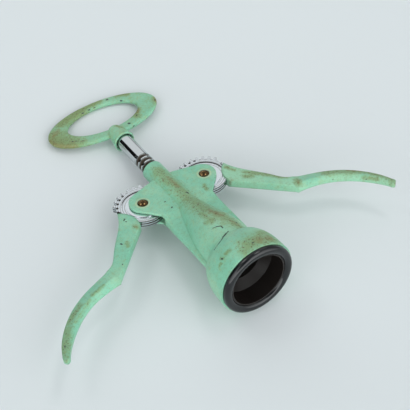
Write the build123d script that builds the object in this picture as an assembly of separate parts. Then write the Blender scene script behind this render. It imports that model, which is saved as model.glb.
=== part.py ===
from build123d import *
from math import acos, atan2, cos, degrees, pi, radians, sin, sqrt, tan
import os

# Twin-lever corkscrew, lying on its back with its levers half spread.
# The screw axis is Y: the mouth of the bottle socket is at Y = 0 and the ring handle at the far end.
# X runs across the two levers, Z points up out of the front. Sizes are in millimetres.

# Rack and gear teeth
tooth_pitch = 3.8
gear_teeth = 27
pressure_angle = radians(20)
rack_addendum = 1.13
gear_addendum = 0.70
tip_clearance = 0.25
tooth_foot_depth = 0.5
rack_tooth = 1.70
gear_tooth = 1.60
teeth_towards_arm = 11
plain_land_teeth = 1
teeth_towards_bell = 4
grooves_towards_handle = 9
grooves_towards_bell = 5

# How far a cut runs past the surface that it opens
cut_overrun = 1.0

# Rack tube and spindle
rack_radius = 5.0
tube_bore_radius = 2.1
tube_end_land = 1.9
spindle_radius = 1.95
spindle_flange_radius = 4.4
spindle_flange_length = 3.0
end_play = 0.15

# Places along the screw axis, from the socket's mouth
pivot_y = 81.0
neck_top_y = 105.8
boss_mouth_y = 138.3
ring_centre_y = 165.8
column_end_y = 68.0
cone_end_y = 41.8
crease_y = 23.3
bell_rim_y = 1.7

# Frame casting
column_radius = 6.45
neck_radius = 6.25
neck_rounding = 0.6
neck_length = 12.0
rack_running_gap = 0.25
cone_radius = 13.2
cone_bulge = 0.4
crease_radius = 15.2
shoulder_radius = 19.3
shoulder_y = 18.4
shoulder_heading = (1, -0.45)
bell_radius = 21.5
cone_wall = 1.8
bell_wall = 1.6
web_half_width = 16.6
web_root_thickness = 6.4
web_shoulder_drop = 5.6
web_shoulder_thickness = 4.8
web_edge_thickness = 2.6
web_edge_rounding = 1.1

# Cheeks that hold the gears, front and back
cheek_thickness = 1.45
cheek_rounding = 0.5
gear_side_gap = 0.25
gear_tip_gap = 0.85
ear_radius = 8.35
ear_offset_x = -1.0
ear_offset_y = 1.0
ear_top_angle = 75
ear_foot_angle = -46
cheek_top_y = 13.0
cheek_foot_y = -14.4

# Rivets that the gears turn on
rivet_radius = 2.5
rivet_running_gap = 0.08
rivet_head_radius = 3.1
rivet_head_height = 1.1
dimple_radius = 1.1
dimple_depth = 0.6

# Gear heads
gear_thickness = 4.2
gear_disc_radius = 13.1
face_groove_inner = 9.5
face_groove_outer = 12.3
face_groove_depth = 0.35
tang_thickness = 1.6
tang_width = 5.0
tang_start = (9.0, -1.4)
tang_end = (27.6, -25.6)

# Lever arms, from the pivot of the right lever, with the bell towards -Y
root_top = (15.0, 2.4)
root_middle = (9.1, -4.9)
root_foot = (9.1, -13.0)
root_top_heading = (0.3, -1)
shank_outer = [(19.8, -7.4), (30.9, -22.5)]
bend_outer = (39.4, -31.2)
bend_inner = (36.6, -39.8)
handle_outer = [(50.0, -35.0), (64.5, -42.4), (77.3, -55.6)]
handle_inner = [(50.6, -43.3), (63.9, -50.2), (74.9, -61.0)]
tip_outer = (82.5, -66.4)
tip_inner = (79.3, -67.6)
tip_end = (81.6, -68.9)
bend_direction = -19
bend_turn = 8
tip_direction = -72
arm_thickness = 5.2
shank_rounding = 0.8
outer_rounding = 0.7
ridge_thickness = 6.0
ridge_end_thickness = 4.0
ridge_share = 0.32
ridge_overrun = 4.0
outer_slope = 14
inner_slope = 39
bend_run = 9.0
bend_step = 0.05
roof_steps = 8
roof_reach = 8.0
roof_edge = 0.6

# Ring handle
ring_half_width = 37.2
ring_half_height = 18.8
hole_half_width = 24.0
hole_half_height = 12.7
hole_offset_y = 0.5
ring_thickness = 3.2
ring_rounding = 1.3
boss_mouth_radius = 6.7
boss_top_radius = 4.9
boss_top_y = 149.4
boss_lip_rounding = 0.7
socket_radius = 5.7
socket_depth = 3.4
spindle_seat_depth = 10.0

# Thrust washer in the handle's socket
washer_thickness = 0.8
washer_radius = 5.5
washer_bore_gap = 0.1

# Worm
worm_wire_radius = 1.6
worm_helix_radius = 2.8
worm_pitch = 9.5
worm_tip_y = 12.9
worm_seat_depth = 9.0
worm_lead_in = 8.0
worm_point_length = 3.4
worm_point_radius = 0.2

# Bell's plastic ring and guide cup
bell_ring_radius = 20.7
roll_radius = 2.1
roll_depth = 1.6
roll_inner_heading = (0.3, -1)
bell_ring_inner = 16.0
bell_skirt_depth = 4.2
bell_skirt_gap = 0.05
bottle_bore_radius = 15.4
cup_wall = 1.5
cup_seat_y = 2.4
cup_cone_y = 10.4
cup_cone_top_y = 14.8
throat_radius = 11.0
throat_wall = 1.2
throat_top_y = 23.9

# Sizes that follow from the ones above
pitch_radius = tooth_pitch * gear_teeth / (2 * pi)
rack_pitch_radius = rack_radius - rack_addendum
pivot_x = pitch_radius + rack_pitch_radius
gear_tip_radius = pitch_radius + gear_addendum
gear_root_radius = pivot_x - rack_radius - tip_clearance
rack_root_radius = pivot_x - gear_tip_radius - tip_clearance
slot_half = gear_thickness / 2 + gear_side_gap
cheek_face = slot_half + cheek_thickness
slot_radius = gear_tip_radius + gear_tip_gap
socket_floor_y = boss_mouth_y + socket_depth
tube_top_y = socket_floor_y - washer_thickness - end_play
tube_bottom_y = pivot_y - (grooves_towards_bell + 0.5) * tooth_pitch - tube_end_land
flange_top_y = tube_bottom_y - end_play
flange_bottom_y = flange_top_y - spindle_flange_length
spindle_top_y = socket_floor_y + spindle_seat_depth
bell_bore_radius = bell_radius - bell_wall
worm_turn_length = sqrt((2 * pi * worm_helix_radius) ** 2 + worm_pitch ** 2)


def turned(face):
    """Solid of revolution about the screw axis"""
    return revolve(face, Axis.Y, 360)


def both_sides(right):
    """The right-hand shape and its mirror image"""
    return right, mirror(right, Plane.YZ)


def at_pivot(shape):
    """Move a shape made about the origin to the right lever's pivot"""
    return Pos(pivot_x, pivot_y, 0) * shape


# Frame casting

def cone_bulge_point():
    """Radius and place of the middle of the bell's slightly round side"""
    return (cone_radius + crease_radius) / 2 + cone_bulge, (cone_end_y + crease_y) / 2


def frame_outside():
    """Neck, column, cone and bell as one turned outside"""
    neck_end = neck_top_y - neck_length
    bulge_radius, bulge_y = cone_bulge_point()
    neck_flat = (neck_radius - neck_rounding, neck_top_y)
    neck_side = (neck_radius, neck_top_y - neck_rounding)
    edges = [
        Polyline((0, neck_top_y), neck_flat),
        RadiusArc(neck_flat, neck_side, neck_rounding),
        Polyline(
            neck_side,
            (column_radius, neck_end),
            (column_radius, column_end_y),
            (cone_radius, cone_end_y),
        ),
        ThreePointArc(
            (cone_radius, cone_end_y),
            (bulge_radius, bulge_y),
            (crease_radius, crease_y),
        ),
        Spline(
            (crease_radius, crease_y),
            (shoulder_radius, shoulder_y),
            (bell_radius, bell_rim_y),
            tangents=[shoulder_heading, (0, -1)],
        ),
        Polyline((bell_radius, bell_rim_y), (0, bell_rim_y), (0, neck_top_y)),
    ]
    return turned(make_face(edges))


def frame_inside():
    """Rack bore, cored cone and the bell's hollow, as one turned core"""
    bore = rack_radius + rack_running_gap
    slope = (cone_radius - column_radius) / (column_end_y - cone_end_y)
    inner_cone_radius = cone_radius - cone_wall
    bore_end_y = cone_end_y + (inner_cone_radius - bore) / slope
    bulge_radius, bulge_y = cone_bulge_point()
    top_y = neck_top_y + cut_overrun
    mouth_y = bell_rim_y - cut_overrun
    skirt_end_y = bell_rim_y + bell_skirt_depth
    edges = [
        Polyline((0, top_y), (bore, top_y), (bore, bore_end_y), (inner_cone_radius, cone_end_y)),
        ThreePointArc(
            (inner_cone_radius, cone_end_y),
            (bulge_radius - cone_wall, bulge_y),
            (crease_radius - cone_wall, crease_y - bell_wall),
        ),
        Spline(
            (crease_radius - cone_wall, crease_y - bell_wall),
            (shoulder_radius - bell_wall, shoulder_y - bell_wall),
            (bell_bore_radius, skirt_end_y),
            tangents=[shoulder_heading, (0, -1)],
        ),
        Polyline((bell_bore_radius, skirt_end_y), (bell_bore_radius, mouth_y), (0, mouth_y), (0, top_y)),
    ]
    return turned(make_face(edges))


def cheek_outline():
    """Outline of the right ear, from the column to its rounded end, about the pivot"""
    def rim(angle):
        a = radians(angle)
        return (ear_offset_x + ear_radius * cos(a), ear_offset_y + ear_radius * sin(a))

    top, side, foot = rim(ear_top_angle), rim(0), rim(ear_foot_angle)
    edges = [
        Polyline((-pivot_x, cheek_top_y), (-pivot_x + column_radius, cheek_top_y), top),
        ThreePointArc(top, side, foot),
        Polyline(
            foot,
            (web_half_width - pivot_x, cheek_foot_y),
            (-pivot_x, cheek_foot_y),
            (-pivot_x, cheek_top_y),
        ),
    ]
    return make_face(edges)


def cheek_plate():
    """Right half of the front and back cheeks as one plate, before the gear slot is cut"""
    plate = extrude(cheek_outline(), cheek_face, both=True)
    rims = plate.edges().filter_by(lambda e: abs(abs(e.center().Z) - cheek_face) < 0.01)
    rims = rims.filter_by(lambda e: e.center().X > -pivot_x + 0.5 and e.center().Y > cheek_foot_y + 0.1)
    return at_pivot(fillet(rims, cheek_rounding))


def web_section(y, root_thickness, edge_thickness):
    """Cross-section of the side webs at one height: flat over the column, thinner to the edges"""
    root = root_thickness / 2
    edge = edge_thickness / 2
    points = [(-web_half_width, edge), (-column_radius, root), (column_radius, root), (web_half_width, edge)]
    points += [(x, -z) for x, z in reversed(points)]
    return Plane.XZ.offset(-y) * make_face(Polyline(*points, close=True))


def web():
    """Side webs: a shoulder that slopes down from the cheeks, then thin edges down to the bell"""
    foot_y = pivot_y + cheek_foot_y
    sections = [
        web_section(foot_y, 2 * cheek_face, 2 * cheek_face),
        web_section(foot_y - web_shoulder_drop, web_root_thickness, web_shoulder_thickness),
        web_section(crease_y - bell_wall, web_root_thickness, web_edge_thickness),
    ]
    plate = loft(sections, ruled=True)
    corners = plate.edges().filter_by(lambda e: abs(e.center().X) > web_half_width - 0.01)
    corners = corners.filter_by(lambda e: abs((e @ 1).Y - (e @ 0).Y) > web_edge_rounding)
    return fillet(corners, web_edge_rounding)


def gear_slots():
    """Round slots that the gear heads turn in, open to the rack bore and to the sides"""
    right = at_pivot(Cylinder(slot_radius, 2 * slot_half))
    return both_sides(right)


def pivot_holes():
    """Holes for the rivets through both cheeks"""
    return both_sides(at_pivot(Cylinder(rivet_radius, 4 * cheek_face)))


def frame():
    body = frame_outside() + web()
    for cheek in both_sides(cheek_plate()):
        body += cheek
    body -= frame_inside()
    for cut in gear_slots() + pivot_holes():
        body -= cut
    return body


# Plastic pieces of the bell

def bell_ring():
    """Rolled ring over the bell's rim, with a skirt pressed into the bell"""
    roll_centre = bell_ring_radius - roll_radius
    roll_top_y = roll_radius - roll_depth
    skirt_radius = bell_bore_radius - bell_skirt_gap
    cup_radius = bottle_bore_radius + cup_wall
    skirt_end_y = bell_rim_y + bell_skirt_depth
    edges = [
        Polyline((bell_ring_inner, cup_seat_y), (bell_ring_inner, 0)),
        Spline((bell_ring_inner, 0), (roll_centre, -roll_depth), tangents=[roll_inner_heading, (1, 0)]),
        RadiusArc((roll_centre, -roll_depth), (bell_ring_radius, roll_top_y), -roll_radius),
        Polyline(
            (bell_ring_radius, roll_top_y),
            (bell_ring_radius, bell_rim_y),
            (skirt_radius, bell_rim_y),
            (skirt_radius, skirt_end_y),
            (cup_radius, skirt_end_y),
            (cup_radius, cup_seat_y),
            (bell_ring_inner, cup_seat_y),
        ),
    ]
    return turned(make_face(edges))


def guide_cup():
    """Thin cup that centres the bottle's neck, with a throat that the cork comes up through"""
    inner = [
        (bottle_bore_radius, 0),
        (bottle_bore_radius, cup_cone_y),
        (throat_radius, cup_cone_top_y),
        (throat_radius, throat_top_y),
    ]
    outer = [
        (throat_radius + throat_wall, throat_top_y),
        (throat_radius + throat_wall, cup_cone_top_y + cup_wall / 2),
        (bottle_bore_radius + cup_wall, cup_cone_y + cup_wall / 2),
        (bottle_bore_radius + cup_wall, cup_seat_y),
        (bell_ring_inner, cup_seat_y),
        (bell_ring_inner, 0),
    ]
    return turned(make_face(Polyline(*inner, *outer, inner[0])))


# Rack and spindle

def rack_tube():
    """Smooth tube whose lower part carries ring-shaped rack teeth"""
    blank = [
        (tube_bore_radius, tube_bottom_y),
        (rack_radius, tube_bottom_y),
        (rack_radius, tube_top_y),
        (tube_bore_radius, tube_top_y),
    ]
    tube = turned(make_face(Polyline(*blank, blank[0])))
    groove_at_pitch = tooth_pitch - rack_tooth
    slope = tan(pressure_angle)
    cut_radius = rack_radius + cut_overrun
    wide = groove_at_pitch / 2 + (cut_radius - rack_pitch_radius) * slope
    narrow = groove_at_pitch / 2 - (rack_pitch_radius - rack_root_radius) * slope
    grooves = []
    for step in range(-grooves_towards_bell, grooves_towards_handle + 1):
        y = pivot_y + step * tooth_pitch
        section = Polyline(
            (cut_radius, y - wide),
            (rack_root_radius, y - narrow),
            (rack_root_radius, y + narrow),
            (cut_radius, y + wide),
            close=True,
        )
        grooves.append(turned(make_face(section)))
    return tube - grooves


def spindle():
    """Rod inside the tube: its flange carries the tube, its top is fast in the handle"""
    points = [
        (0, flange_bottom_y),
        (spindle_flange_radius, flange_bottom_y),
        (spindle_flange_radius, flange_top_y),
        (spindle_radius, flange_top_y),
        (spindle_radius, spindle_top_y),
        (0, spindle_top_y),
    ]
    rod = turned(make_face(Polyline(*points, close=True)))
    seat = Cylinder(worm_wire_radius, worm_seat_depth, align=(Align.CENTER, Align.CENTER, Align.MIN))
    return rod - Pos(0, flange_bottom_y, 0) * Rot(-90, 0, 0) * seat


def worm():
    """Right-handed wire worm: straight top in the spindle, bend out to the helix, turns and point"""
    turns_top_y = flange_bottom_y - worm_lead_in
    turns_end_y = worm_tip_y + worm_point_length * worm_pitch / worm_turn_length
    from_here = (Align.CENTER, Align.CENTER, Align.MIN)
    turns = Helix(
        worm_pitch,
        turns_top_y - turns_end_y,
        worm_helix_radius,
        center=(0, turns_top_y, 0),
        direction=(0, -1, 0),
    )
    start, leaving = turns @ 0, turns % 0
    bend = Spline((0, flange_bottom_y, 0), start, tangents=[(0, -1, 0), leaving])
    bend_section = Plane(origin=(0, flange_bottom_y, 0), z_dir=(0, -1, 0)) * Circle(worm_wire_radius)
    turn_section = Plane(origin=start, z_dir=leaving) * Circle(worm_wire_radius)
    seat = Cylinder(worm_wire_radius, worm_seat_depth, align=from_here)
    straight = Pos(0, flange_bottom_y, 0) * Rot(-90, 0, 0) * seat
    point = Cone(worm_wire_radius, worm_point_radius, worm_point_length, align=from_here)
    point = Plane(origin=turns @ 1, z_dir=turns % 1) * point
    return straight + sweep(bend_section, bend) + sweep(turn_section, turns, is_frenet=True) + point


# Ring handle

def ring_handle():
    """Flat oval ring with a socket boss that turns round the top of the rack tube"""
    outline = Ellipse(ring_half_width, ring_half_height)
    hole = Pos(0, hole_offset_y) * Ellipse(hole_half_width, hole_half_height)
    band = extrude(outline - hole, ring_thickness / 2, both=True)
    rims = band.edges().filter_by(lambda e: abs(abs(e.center().Z) - ring_thickness / 2) < 0.01)
    band = Pos(0, ring_centre_y, 0) * fillet(rims, ring_rounding)
    lip = boss_lip_rounding
    edges = [
        Polyline((0, boss_mouth_y), (boss_mouth_radius - lip, boss_mouth_y)),
        RadiusArc(
            (boss_mouth_radius - lip, boss_mouth_y),
            (boss_mouth_radius, boss_mouth_y + lip),
            -lip,
        ),
        Polyline((boss_mouth_radius, boss_mouth_y + lip), (boss_top_radius, boss_top_y)),
        RadiusArc((boss_top_radius, boss_top_y), (0, boss_top_y + boss_top_radius), -boss_top_radius),
        Polyline((0, boss_top_y + boss_top_radius), (0, boss_mouth_y)),
    ]
    boss = turned(make_face(edges))
    bores = [
        (0, boss_mouth_y - cut_overrun),
        (socket_radius, boss_mouth_y - cut_overrun),
        (socket_radius, socket_floor_y),
        (spindle_radius, socket_floor_y),
        (spindle_radius, spindle_top_y),
        (0, spindle_top_y),
    ]
    return band + boss - turned(make_face(Polyline(*bores, close=True)))


def socket_washer():
    """Thrust washer between the tube's top end and the floor of the socket"""
    bore = spindle_radius + washer_bore_gap
    bottom = socket_floor_y - washer_thickness
    points = [
        (bore, bottom),
        (washer_radius, bottom),
        (washer_radius, socket_floor_y),
        (bore, socket_floor_y),
    ]
    return turned(make_face(Polyline(*points, close=True)))


# Levers: a toothed steel head with a tang, and a cast arm round the tang

def polar(radius, angle):
    return (radius * cos(angle), radius * sin(angle))


def tooth_outline(centre_angle):
    """One involute tooth, from under the root circle to the tip"""
    base_radius = pitch_radius * cos(pressure_angle)
    half_at_pitch = gear_tooth / 2 / pitch_radius
    involute_at_pitch = tan(pressure_angle) - pressure_angle

    def half_angle(radius):
        slope = acos(min(1, base_radius / radius))
        return half_at_pitch + involute_at_pitch - (tan(slope) - slope)

    middle_radius = (base_radius + gear_tip_radius) / 2
    flank = [base_radius, middle_radius, gear_tip_radius]
    rising = [polar(r, centre_angle - half_angle(r)) for r in flank]
    falling = [polar(r, centre_angle + half_angle(r)) for r in reversed(flank)]
    foot = half_angle(base_radius)
    foot_radius = gear_root_radius - tooth_foot_depth
    left_foot = polar(foot_radius, centre_angle + foot)
    right_foot = polar(foot_radius, centre_angle - foot)
    edges = [
        Polyline(right_foot, rising[0]),
        ThreePointArc(*rising),
        ThreePointArc(rising[-1], polar(gear_tip_radius, centre_angle), falling[0]),
        ThreePointArc(*falling),
        Polyline(falling[-1], left_foot, right_foot),
    ]
    return make_face(edges)


def toothed_sector():
    """Teeth round the part of the gear that meets the rack, and a plain land next to the arm"""
    step = 2 * pi / gear_teeth
    first = pi - (teeth_towards_arm + plain_land_teeth + 0.5) * step
    last = pi + (teeth_towards_bell + 0.5) * step
    start, middle, end = [polar(gear_root_radius, a) for a in (first, (first + last) / 2, last)]
    edges = [Polyline(end, (0, 0), start), ThreePointArc(start, middle, end)]
    sector = make_face(edges)
    for count in range(-teeth_towards_arm, teeth_towards_bell + 1):
        sector += tooth_outline(pi + count * step)
    return sector


def heading(angle):
    """Unit direction at an angle in degrees"""
    return (cos(radians(angle)), sin(radians(angle)))


def shank_outline():
    """Flat shank from the gear head's rounded joint to the bend"""
    edges = [
        ThreePointArc(root_foot, root_middle, root_top),
        Spline(root_top, *shank_outer, bend_outer, tangents=[root_top_heading, heading(bend_direction)]),
        Polyline(bend_outer, bend_inner, root_foot),
    ]
    return make_face(edges)


def handle_outline():
    """Curved handle from the bend to its rounded tip"""
    outer_tangents = [heading(bend_direction), heading(tip_direction)]
    inner_tangents = [heading(tip_direction + 180 + bend_turn), heading(bend_direction + 180 - bend_turn)]
    edges = [
        Spline(bend_outer, *handle_outer, tip_outer, tangents=outer_tangents),
        ThreePointArc(tip_outer, tip_end, tip_inner),
        Spline(tip_inner, *reversed(handle_inner), bend_inner, tangents=inner_tangents),
        Line(bend_inner, bend_outer),
    ]
    return make_face(edges)


def ridge_line():
    """Line of the handle's ridge, from the bend to beyond the tip"""
    outer = [bend_outer, *handle_outer, tip_outer]
    inner = [bend_inner, *handle_inner, tip_inner]
    points = [Vector(*b) + (Vector(*a) - Vector(*b)) * ridge_share for a, b in zip(outer, inner)]
    points.append(points[-1] + Vector(*heading(tip_direction)) * ridge_overrun)
    return Spline(*points, tangents=[heading(bend_direction), heading(tip_direction)])


def handle_roof():
    """Wide six-sided bar along the ridge, whose slopes form the handle's facets front and back"""
    path = ridge_line()
    sections = []
    for step in range(roof_steps + 1):
        place = step / roof_steps
        settled = 1 - (1 - min(path.length * place / bend_run, 1)) ** 2
        flat = arm_thickness / 2 - bend_step
        crest = ridge_thickness + (ridge_end_thickness - ridge_thickness) * place ** 2
        ridge = flat + (crest / 2 - flat) * settled
        outer = ridge - roof_reach * tan(radians(outer_slope)) * settled
        inner = ridge - roof_reach / 2 * tan(radians(inner_slope)) * settled
        outer_point = (roof_reach, max(outer, roof_edge))
        inner_point = (-roof_reach / 2, max(inner, roof_edge / 2))
        points = [outer_point, (0, ridge), inner_point]
        points += [(x, -z) for x, z in reversed(points)]
        direction = path % place
        plane = Plane(origin=path @ place, x_dir=(-direction.Y, direction.X, 0), z_dir=direction)
        sections.append(plane * make_face(Polyline(*points, close=True)))
    return loft(sections)


def arm_body():
    """Shank and handle in one, with their long edges rounded"""
    plate = extrude(shank_outline(), arm_thickness / 2, both=True)
    inner_edges = plate.edges().filter_by(GeomType.LINE).filter_by(Axis.Z, reverse=True)
    inner_edges = inner_edges.filter_by(lambda e: e.distance_to(Vector(*root_foot, e.center().Z)) < 0.01)
    plate = fillet(inner_edges, shank_rounding)
    handle = extrude(handle_outline(), ridge_thickness, both=True) & handle_roof()
    body = plate + handle
    shank_mark, handle_mark = Vector(*shank_outer[1]), Vector(*handle_outer[1])

    def is_outer(edge):
        middle = edge.center()
        reach = min(edge.distance_to(Vector(mark.X, mark.Y, middle.Z)) for mark in (shank_mark, handle_mark))
        return abs(middle.Z) > roof_edge and reach < 0.2

    return fillet(body.edges().filter_by(is_outer), outer_rounding)


def tang():
    """Tongue of the gear head inside the arm"""
    run = Vector(*tang_end) - Vector(*tang_start)
    bar = Box(run.length, tang_width, tang_thickness, align=(Align.MIN, Align.CENTER, Align.CENTER))
    return Pos(*tang_start) * Rot(0, 0, degrees(atan2(run.Y, run.X))) * bar


def gear_head():
    """Steel head: toothed sector, round disc, face grooves, rivet hole and tang"""
    blank = toothed_sector() + Circle(gear_disc_radius)
    joint = shank_outline()
    head = extrude(blank - joint, gear_thickness / 2, both=True)
    ring = Cylinder(face_groove_outer, face_groove_depth) - Cylinder(face_groove_inner, face_groove_depth)
    for side in (1, -1):
        head -= Pos(0, 0, side * (gear_thickness - face_groove_depth) / 2) * ring
    head += tang()
    return at_pivot(head - Cylinder(rivet_radius + rivet_running_gap, 2 * gear_thickness))


def lever_arm():
    """Painted arm: flat shank and curved handle, slotted for the gear head's tang"""
    return at_pivot(arm_body() - tang())


def cap_drop(radius, rise, reach):
    """How far a spherical cap of a given rim radius and rise lies below its crown at a reach"""
    sphere = (radius ** 2 + rise ** 2) / (2 * rise)
    return sphere - sqrt(sphere ** 2 - reach ** 2)


def rivet():
    """Domed rivet through both cheeks, with a dimple in each head"""
    crown = cheek_face + rivet_head_height
    rim_height = crown - cap_drop(rivet_head_radius, rivet_head_height, dimple_radius)
    middle = (rivet_head_radius + dimple_radius) / 2
    half_dimple = dimple_radius / 2
    floor = rim_height - dimple_depth
    front = [
        Polyline((rivet_radius, 0), (rivet_radius, cheek_face), (rivet_head_radius, cheek_face)),
        ThreePointArc(
            (rivet_head_radius, cheek_face),
            (middle, crown - cap_drop(rivet_head_radius, rivet_head_height, middle)),
            (dimple_radius, rim_height),
        ),
        ThreePointArc(
            (dimple_radius, rim_height),
            (half_dimple, floor + cap_drop(dimple_radius, dimple_depth, half_dimple)),
            (0, floor),
        ),
        Line((0, floor), (0, 0)),
    ]
    back = [mirror(edge, Plane.XZ) for edge in front]
    return at_pivot(Rot(90, 0, 0) * turned(make_face(front + back)))


def write(name, shape):
    export_step(shape, "parts/" + name + ".step")


def main():
    os.makedirs("parts", exist_ok=True)
    write("frame", frame())
    write("bell_ring", bell_ring())
    write("guide_cup", guide_cup())
    write("rack_tube", rack_tube())
    write("spindle", spindle())
    write("worm", worm())
    write("ring_handle", ring_handle())
    write("socket_washer", socket_washer())
    for name, shape in (("gear_head", gear_head()), ("lever_arm", lever_arm()), ("rivet", rivet())):
        right, left = both_sides(shape)
        write("right_" + name, right)
        write("left_" + name, left)


if __name__ == "__main__":
    main()
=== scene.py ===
import math
from typing import NamedTuple

import bpy
from mathutils import Matrix, Vector


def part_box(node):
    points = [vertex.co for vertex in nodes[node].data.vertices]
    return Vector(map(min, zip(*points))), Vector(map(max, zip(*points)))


bl_info = {
    "name": "Twin-Lever Corkscrew",
    "version": (1, 0, 0),
    "blender": (4, 5, 0),
    "location": "View3D > Sidebar > Corkscrew",
    "description": "Finishes a worn painted corkscrew and lays it on a pale studio floor",
    "category": "Object",
}

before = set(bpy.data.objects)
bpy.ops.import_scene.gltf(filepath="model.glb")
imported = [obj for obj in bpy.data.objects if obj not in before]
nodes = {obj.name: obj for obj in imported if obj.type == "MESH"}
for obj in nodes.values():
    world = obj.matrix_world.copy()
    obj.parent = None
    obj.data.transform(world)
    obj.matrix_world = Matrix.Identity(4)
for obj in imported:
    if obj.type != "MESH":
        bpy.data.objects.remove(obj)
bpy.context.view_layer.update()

MM = 0.001

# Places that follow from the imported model
rivet_low, rivet_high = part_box("right_rivet")
pivot = (rivet_low + rivet_high) / 2
tube_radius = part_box("rack_tube")[1].x


# Sizes and colours that a user would change

def colour(name, description, default):
    """A colour that a user can pick"""
    return bpy.props.FloatVectorProperty(
        name=name, description=description, subtype="COLOR", size=3, min=0, max=1, default=default
    )


def share(name, description, default):
    """A share from 0 to 1"""
    return bpy.props.FloatProperty(
        name=name, description=description, subtype="FACTOR", min=0, max=1, default=default
    )


def length(name, description, default):
    """A length in metres"""
    return bpy.props.FloatProperty(
        name=name, description=description, subtype="DISTANCE", unit="LENGTH", default=default
    )


def power(name, description, default):
    """The power of a lamp in watts"""
    return bpy.props.FloatProperty(
        name=name, description=description, subtype="POWER", unit="POWER", default=default
    )


class PaintSettings(bpy.types.PropertyGroup):
    """Colours and wear of the painted castings"""

    mint: colour("Mint", "Colour of the clean paint", (0.205, 0.53, 0.375))
    faded: colour("Faded", "Colour where the paint has bleached", (0.30, 0.595, 0.41))
    rubbed: colour("Rubbed", "Colour of the paint rubbed thin round the rivets", (0.46, 0.56, 0.34))
    # Olive also paints the shade in the castings' creases
    olive: colour("Olive", "Colour of the old grease on the paint", (0.165, 0.225, 0.08))
    tan: colour("Tan", "Colour of the thin yellow film", (0.225, 0.275, 0.06))
    rust: colour("Rust", "Colour of the rust stains", (0.215, 0.125, 0.036))
    brown: colour("Brown", "Colour of the specks of dirt", (0.09, 0.055, 0.022))
    chip: colour("Chip", "Colour of the bare casting in a chip", (0.035, 0.05, 0.045))
    roughness: share("Roughness", "Roughness of the clean paint", 0.42)
    film: share("Grease film", "How much the thin grease film tints the paint", 0.08)
    haze: share("Grease haze", "How much the haze round a grease mark yellows the paint", 0.38)
    stain: share("Grease stain", "How much a grease mark covers the paint", 0.46)
    frame_edge: length("Frame edge", "Roundness that the paint gives to the frame's corners", 1.0 * MM)
    lever_edge: length("Lever edge", "Roundness that the paint gives to the levers and the ring", 2.0 * MM)


class PlasticSettings(bpy.types.PropertyGroup):
    """Colour and gloss of the black plastic"""

    black: colour("Ring black", "Colour of the outer ring", (0.005, 0.006, 0.007))
    cup_black: colour("Cup black", "Colour of the cup inside", (0.0115, 0.009, 0.008))
    # Dust also pales the plastic's edges, partly as a painted highlight
    dust: colour("Dust", "Colour of the dust on it", (0.10, 0.095, 0.09))
    ring_roughness: share("Ring roughness", "Roughness of the outer ring", 0.10)
    ring_shine: share("Ring shine", "How strongly the outer ring mirrors light", 0.5)
    cup_roughness: share("Cup roughness", "Roughness of the cup inside", 0.42)
    cup_shine: share("Cup shine", "How strongly the cup inside mirrors light", 0.16)


class MetalSettings(bpy.types.PropertyGroup):
    """Colours and polish of the bare metal"""

    chrome: colour("Chrome", "Colour of the chrome plating", (0.60, 0.625, 0.635))
    plating: colour("Gear plating", "Colour of the gear heads' plating", (0.70, 0.74, 0.77))
    steel: colour("Steel", "Colour of the turned steel", (0.50, 0.50, 0.49))
    brass: colour("Brass", "Colour of the rivets where they are rubbed", (0.42, 0.28, 0.13))
    tarnish: colour("Tarnish", "Colour of the tarnish on the rivets", (0.045, 0.026, 0.011))
    # Grime also gives the black painted shade on the gear heads
    grime: colour("Grime", "Colour of the old grease in grooves", (0.075, 0.058, 0.042))
    tube_roughness: share("Tube roughness", "Roughness of the polished tube", 0.07)
    gear_roughness: share("Gear roughness", "Roughness of the gear faces", 0.16)
    worm_roughness: share("Worm roughness", "Roughness of the drawn wire", 0.12)
    spindle_roughness: share("Spindle roughness", "Roughness of the turned spindle", 0.3)
    washer_roughness: share("Washer roughness", "Roughness of the washer", 0.35)


class StageSettings(bpy.types.PropertyGroup):
    """Floor, lights and camera"""

    floor: colour("Floor", "Colour of the pale floor", (0.677, 0.715, 0.730))
    key_power: power("Key light", "Power of the right softbox", 1.15)
    fill_power: power("Fill light", "Power of the left softbox", 0.65)
    softbox_size: length("Softbox size", "Width of each softbox", 0.24)
    softbox_distance: length("Softbox distance", "How far each softbox stands from the corkscrew", 1.1)
    camera_distance: length("Camera distance", "From the aim point to the camera", 478.85 * MM)


# Node building

class Nodes:
    """Adds nodes to one tree and feeds their sockets"""

    def __init__(self, tree):
        self.tree = tree

    def feed(self, socket, value):
        """Link another socket to this one, or set its value"""
        if isinstance(value, bpy.types.NodeSocket):
            self.tree.links.new(value, socket)
        elif socket.type == "RGBA":
            socket.default_value = (*value, 1)
        else:
            socket.default_value = value

    def node(self, kind, inputs=None, **settings):
        """Add a node of one kind, with its settings and what its inputs get"""
        made = self.tree.nodes.new(kind)
        for name, value in settings.items():
            setattr(made, name, value)
        for name, value in (inputs or {}).items():
            self.feed(made.inputs[name], value)
        return made

    def calc(self, operation, a, b=0.0, clamp=False):
        """Number that an operation on one or two numbers gives"""
        return self.node("ShaderNodeMath", {0: a, 1: b}, operation=operation, use_clamp=clamp).outputs[0]

    def plus(self, a, b):
        return self.calc("ADD", a, b)

    def minus(self, a, b):
        return self.calc("SUBTRACT", a, b)

    def times(self, a, b):
        return self.calc("MULTIPLY", a, b)

    def larger(self, a, b):
        return self.calc("MAXIMUM", a, b)

    def vector(self, operation, a, b=(0, 0, 0)):
        """Vector that a vector operation gives"""
        return self.node("ShaderNodeVectorMath", {0: a, 1: b}, operation=operation).outputs["Vector"]

    def measure(self, operation, a, b=(0, 0, 0)):
        """Number that a vector operation gives, such as a length or a dot product"""
        return self.node("ShaderNodeVectorMath", {0: a, 1: b}, operation=operation).outputs["Value"]

    def step(self, value, low, high, before=0.0, after=1.0):
        """Smooth step as the value goes from low to high, from 0 to 1 unless it is told otherwise"""
        inputs = {"Value": value, "From Min": low, "From Max": high, "To Min": before, "To Max": after}
        return self.node("ShaderNodeMapRange", inputs, interpolation_type="SMOOTHSTEP").outputs["Result"]


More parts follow.
